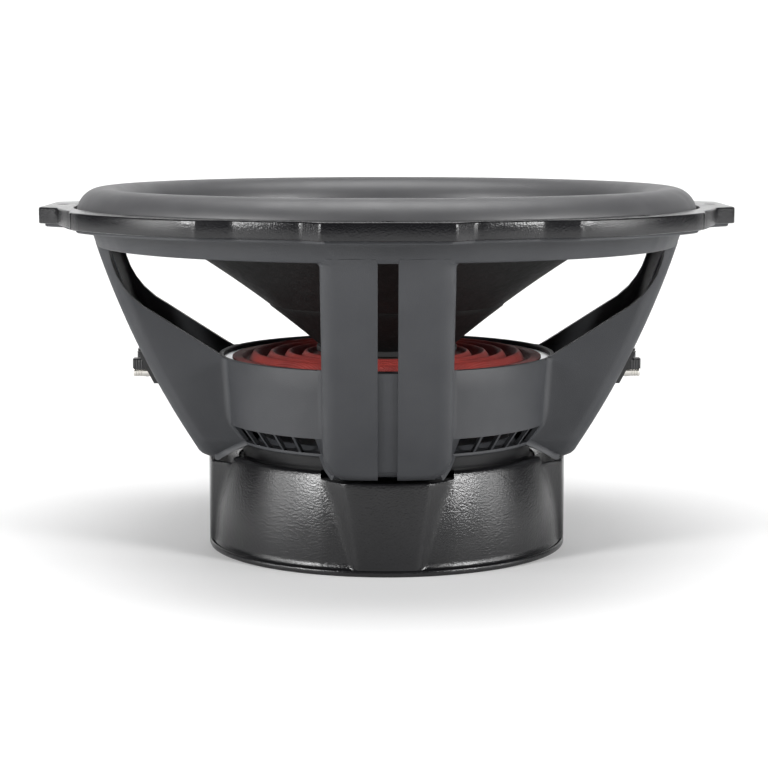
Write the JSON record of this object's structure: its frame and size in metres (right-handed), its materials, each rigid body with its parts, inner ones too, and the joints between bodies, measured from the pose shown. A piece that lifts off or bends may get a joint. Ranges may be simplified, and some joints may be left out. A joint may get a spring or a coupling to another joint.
{
  "type": "car subwoofer speaker",
  "caption": "Car subwoofer: cone with tall rubber surround in a four-spoke basket, lobed trim ring, ferrite motor in a rubber boot, sprung push terminals at both sides.",
  "frame": {"origin": "centre of the underside of the magnet boot, where the speaker stands", "axes": "+Z along the cone's axis, out of the cone; +X towards one pair of terminals, +Y across it"},
  "size_m": [0.328, 0.328, 0.1737],
  "materials": {
    "basket_coat": "fine textured satin charcoal coat",
    "trim_plastic": "black moulding with a fine leathery grain",
    "surround_rubber": "satin dark grey foam rubber",
    "spider_cloth": "red resin-dipped woven cloth",
    "cone_paper": "black fibre pulp",
    "dust_cap_paper": "black pressed pulp, satin",
    "former_film": "amber glass-fibre film",
    "collar_paper": "black kraft collar",
    "copper_wire": "enamelled copper wire",
    "motor_steel": "black zinc on turned steel",
    "ferrite": "ground dark grey ferrite",
    "shorting_aluminium": "turned aluminium",
    "screen_steel": "black perforated sheet",
    "boot_rubber": "glossy black rubber with a leathery grain",
    "screw_steel": "black oxide cap screws",
    "terminal_plastic": "black moulding",
    "rivet_steel": "bright rivets",
    "barrel_nickel": "nickel plate",
    "cap_plastic": "black ribbed moulding",
    "spring_steel": "bright spring wire",
    "lug_brass": "tinned brass",
    "lead_copper": "braided tinsel copper"
  },
  "bodies": {
    "frame": {"basket": "basket_coat", "trim_ring": "trim_plastic", "surround": "surround_rubber", "spider": "spider_cloth", "top_plate": "motor_steel", "magnet_upper": "ferrite", "magnet_lower": "ferrite", "back_plate": "motor_steel", "shorting_ring": "shorting_aluminium", "vent_screen": "screen_steel", "magnet_boot": "boot_rubber", "basket_screws": "screw_steel", "terminal_base_left": "terminal_plastic", "terminal_base_right": "terminal_plastic", "terminal_rivets_left": "rivet_steel", "terminal_rivets_right": "rivet_steel", "barrel_left_front": "barrel_nickel", "cap_spring_left_front": "spring_steel", "solder_lug_left_front": "lug_brass", "tinsel_lead_left_front": "lead_copper", "barrel_left_rear": "barrel_nickel", "cap_spring_left_rear": "spring_steel", "solder_lug_left_rear": "lug_brass", "tinsel_lead_left_rear": "lead_copper", "barrel_right_front": "barrel_nickel", "cap_spring_right_front": "spring_steel", "solder_lug_right_front": "lug_brass", "tinsel_lead_right_front": "lead_copper", "barrel_right_rear": "barrel_nickel", "cap_spring_right_rear": "spring_steel", "solder_lug_right_rear": "lug_brass", "tinsel_lead_right_rear": "lead_copper"},
    "cone_assembly": {"cone": "cone_paper", "dust_cap": "dust_cap_paper", "coil_former": "former_film", "former_collar": "collar_paper", "winding_inner": "copper_wire", "winding_outer": "copper_wire"},
    "button_left_front": {"push_cap_left_front": "cap_plastic"},
    "button_left_rear": {"push_cap_left_rear": "cap_plastic"},
    "button_right_front": {"push_cap_right_front": "cap_plastic"},
    "button_right_rear": {"push_cap_right_rear": "cap_plastic"}
  },
  "joints": [
    {"name": "cone_travel", "type": "slide", "parent": "frame", "child": "cone_assembly", "axis": [0, 0, 1], "range_m": [-0.012, 0.012], "stiffness_N_per_m": 6000, "deforming": ["surround", "spider", "tinsel_lead_left_front", "tinsel_lead_left_rear", "tinsel_lead_right_front", "tinsel_lead_right_rear"]},
    {"name": "press_left_front", "type": "slide", "parent": "frame", "child": "button_left_front", "axis": [0, 0, -1], "range_m": [0, 0.0015], "stiffness_N_per_m": 600, "springref_m": -0.001, "deforming": ["cap_spring_left_front"]},
    {"name": "press_left_rear", "type": "slide", "parent": "frame", "child": "button_left_rear", "axis": [0, 0, -1], "range_m": [0, 0.0015], "stiffness_N_per_m": 600, "springref_m": -0.001, "deforming": ["cap_spring_left_rear"]},
    {"name": "press_right_front", "type": "slide", "parent": "frame", "child": "button_right_front", "axis": [0, 0, -1], "range_m": [0, 0.0015], "stiffness_N_per_m": 600, "springref_m": -0.001, "deforming": ["cap_spring_right_front"]},
    {"name": "press_right_rear", "type": "slide", "parent": "frame", "child": "button_right_rear", "axis": [0, 0, -1], "range_m": [0, 0.0015], "stiffness_N_per_m": 600, "springref_m": -0.001, "deforming": ["cap_spring_right_rear"]}
  ]
}
